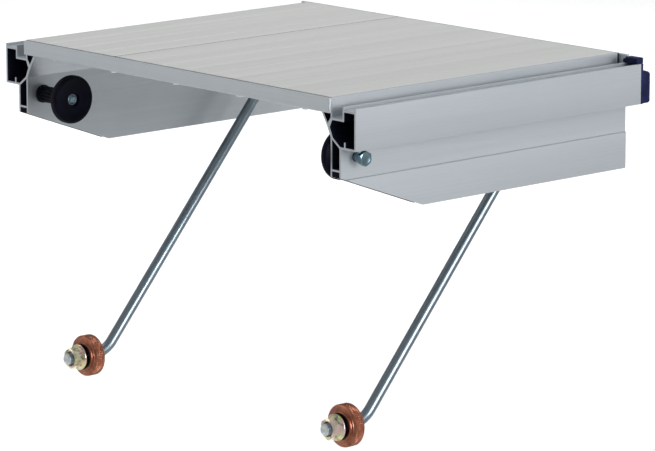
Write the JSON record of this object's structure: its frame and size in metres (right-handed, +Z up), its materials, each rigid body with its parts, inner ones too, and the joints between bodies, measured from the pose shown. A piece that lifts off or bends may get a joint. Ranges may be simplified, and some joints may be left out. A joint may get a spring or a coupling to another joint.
{
  "type": "outfeed table",
  "caption": "Outfeed table for a bench saw: plank deck between grooved side rails, clamps with round knobs at the front, and swinging bent-rod struts with knurled nuts.",
  "frame": {"origin": "middle of the front strip's face, which lies against the saw", "axes": "+X to the right seen from the saw, +Y to the back away from the saw, +Z up"},
  "size_m": [0.514, 0.394, 0.3433],
  "materials": {
    "aluminium": "satin extruded aluminium with fine lines along its length",
    "black_plastic": "moulded near-black plastic, fine grain",
    "seal_rubber": "matt black rubber strip",
    "zinc_steel": "bright zinc-plated steel",
    "yellow_zinc": "yellow passivated zinc on steel",
    "copper_plate": "copper-coloured plating on steel"
  },
  "bodies": {
    "deck_frame": {"bracket_rivet_left_1": "aluminium", "bracket_rivet_left_2": "aluminium", "bracket_rivet_right_1": "aluminium", "bracket_rivet_right_2": "aluminium", "deck_plank_left": "aluminium", "deck_plank_middle": "aluminium", "deck_plank_right": "aluminium", "end_cap_left": "black_plastic", "end_cap_right": "black_plastic", "front_screw_1": "zinc_steel", "front_screw_2": "zinc_steel", "front_screw_3": "zinc_steel", "front_screw_4": "zinc_steel", "front_screw_5": "zinc_steel", "front_seal": "seal_rubber", "front_strip": "aluminium", "pivot_bolt_left": "zinc_steel", "pivot_bolt_right": "zinc_steel", "pivot_nut_left": "zinc_steel", "pivot_nut_right": "zinc_steel", "rail_left": "aluminium", "rail_right": "aluminium", "rear_screw_1": "zinc_steel", "rear_screw_2": "zinc_steel", "rear_screw_3": "zinc_steel", "rear_seal": "seal_rubber", "rear_strip": "aluminium", "strut_bracket_left": "zinc_steel", "strut_bracket_right": "zinc_steel"},
    "clamp_bolt_left": {"clamp_bolt_left": "zinc_steel"},
    "knob_left": {"knob_left": "black_plastic", "knob_bush_left": "zinc_steel"},
    "strut_left": {"strut_left": "zinc_steel", "flange_nut_left": "yellow_zinc"},
    "washer_left": {"thrust_washer_left": "black_plastic"},
    "nut_left": {"knurled_nut_left": "copper_plate"},
    "clamp_bolt_right": {"clamp_bolt_right": "zinc_steel"},
    "knob_right": {"knob_right": "black_plastic", "knob_bush_right": "zinc_steel"},
    "strut_right": {"strut_right": "zinc_steel", "flange_nut_right": "yellow_zinc"},
    "washer_right": {"thrust_washer_right": "black_plastic"},
    "nut_right": {"knurled_nut_right": "copper_plate"}
  },
  "joints": [
    {"name": "knob_left_turn", "type": "hinge", "parent": "deck_frame", "child": "knob_left", "pos_m": [-0.223, 0.022, -0.04845], "axis": [-1, 0, 0], "range_deg": [0, 2016]},
    {"name": "clamp_bolt_left_slide", "type": "slide", "parent": "deck_frame", "child": "clamp_bolt_left", "axis": [1, 0, 0], "range_m": [0, 0.00702]},
    {"name": "strut_left_swing", "type": "hinge", "parent": "deck_frame", "child": "strut_left", "pos_m": [-0.192, 0.3177, -0.02845], "axis": [1, 0, 0], "range_deg": [-37, 45]},
    {"name": "washer_left_slide", "type": "slide", "parent": "strut_left", "child": "washer_left", "axis": [0, -1, 0], "range_m": [0, 0.00211]},
    {"name": "nut_left_turn", "type": "hinge", "parent": "washer_left", "child": "nut_left", "pos_m": [-0.192, 0.05, -0.31495], "axis": [0, -1, 0], "range_deg": [0, 432]},
    {"name": "knob_right_turn", "type": "hinge", "parent": "deck_frame", "child": "knob_right", "pos_m": [0.223, 0.022, -0.04845], "axis": [1, 0, 0], "range_deg": [0, 2016]},
    {"name": "clamp_bolt_right_slide", "type": "slide", "parent": "deck_frame", "child": "clamp_bolt_right", "axis": [-1, 0, 0], "range_m": [0, 0.00702]},
    {"name": "strut_right_swing", "type": "hinge", "parent": "deck_frame", "child": "strut_right", "pos_m": [0.192, 0.3177, -0.02845], "axis": [1, 0, 0], "range_deg": [-37, 45]},
    {"name": "washer_right_slide", "type": "slide", "parent": "strut_right", "child": "washer_right", "axis": [0, -1, 0], "range_m": [0, 0.00211]},
    {"name": "nut_right_turn", "type": "hinge", "parent": "washer_right", "child": "nut_right", "pos_m": [0.192, 0.05, -0.31495], "axis": [0, -1, 0], "range_deg": [0, 432]}
  ],
  "couplings": [
    {"joint": "clamp_bolt_left_slide", "follows": "knob_left_turn", "m_per_rad": 0.00019894},
    {"joint": "washer_left_slide", "follows": "nut_left_turn", "m_per_rad": 0.00027852},
    {"joint": "clamp_bolt_right_slide", "follows": "knob_right_turn", "m_per_rad": 0.00019894},
    {"joint": "washer_right_slide", "follows": "nut_right_turn", "m_per_rad": 0.00027852}
  ]
}
